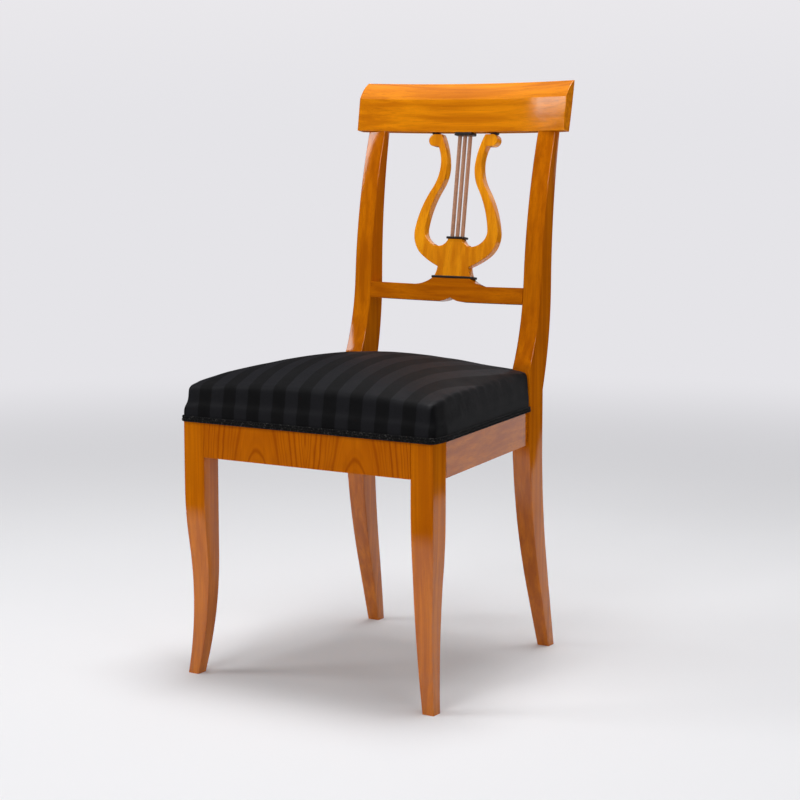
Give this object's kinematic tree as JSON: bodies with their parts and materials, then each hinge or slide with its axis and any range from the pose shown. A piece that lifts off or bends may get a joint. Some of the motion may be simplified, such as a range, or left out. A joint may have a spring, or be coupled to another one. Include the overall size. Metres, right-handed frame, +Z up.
{
  "type": "lyre back dining chair",
  "caption": "Wooden dining chair with sabre legs, a curved crest rail, a fretted lyre in the back and a domed, stuffed-over seat edged with braid.",
  "frame": {"origin": "on the floor, under the middle of the chair's overall box", "axes": "+Z up, -Y the way the sitter faces, +X to the right as seen from the front; the front face of the front legs is parallel to the XZ plane"},
  "size_m": [0.4582, 0.5039, 0.9238],
  "materials": {
    "polished_cherry": "French-polished cherry",
    "cherry_veneer": "French-polished cherry veneer, figured upright",
    "lyre_cherry": "French-polished pale cherry",
    "beech": "planed beech",
    "ebonised_wood": "ebonised and polished",
    "string_rod": "turned and polished rods",
    "steel": "bright steel",
    "jute_webbing": "woven jute",
    "hessian": "plain-woven jute",
    "stuffing": "curled hair and wadding",
    "striped_cover": "black cotton with satin and matt stripes",
    "gimp": "black looped braid"
  },
  "bodies": {
    "root": {"left_front_leg": "polished_cherry", "left_back_leg": "polished_cherry", "left_seat_rail": "polished_cherry", "right_front_leg": "polished_cherry", "right_back_leg": "polished_cherry", "right_seat_rail": "polished_cherry", "front_seat_rail": "beech", "back_seat_rail": "polished_cherry", "front_rail_veneer": "cherry_veneer", "front_left_corner_block": "beech", "front_right_corner_block": "beech", "back_left_corner_block": "beech", "back_right_corner_block": "beech", "corner_block_screws": "steel", "middle_rail": "polished_cherry", "crest_rail": "polished_cherry", "lyre": "lyre_cherry", "lyre_foot_cap": "ebonised_wood", "string_bottom_cap": "ebonised_wood", "string_top_cap": "ebonised_wood", "left_scroll_pad": "ebonised_wood", "right_scroll_pad": "ebonised_wood", "left_lyre_string": "string_rod", "middle_lyre_string": "string_rod", "right_lyre_string": "string_rod", "left_scroll_dowel": "beech", "right_scroll_dowel": "beech", "lengthwise_strap_1": "jute_webbing", "crosswise_strap_1": "jute_webbing", "lengthwise_strap_2": "jute_webbing", "crosswise_strap_2": "jute_webbing", "lengthwise_strap_3": "jute_webbing", "crosswise_strap_3": "jute_webbing", "lengthwise_strap_4": "jute_webbing", "crosswise_strap_4": "jute_webbing", "seat_hessian": "hessian", "seat_stuffing": "stuffing", "seat_cover": "striped_cover", "gimp_braid": "gimp", "back_gimp_braid": "gimp"}
  },
  "joints": []
}
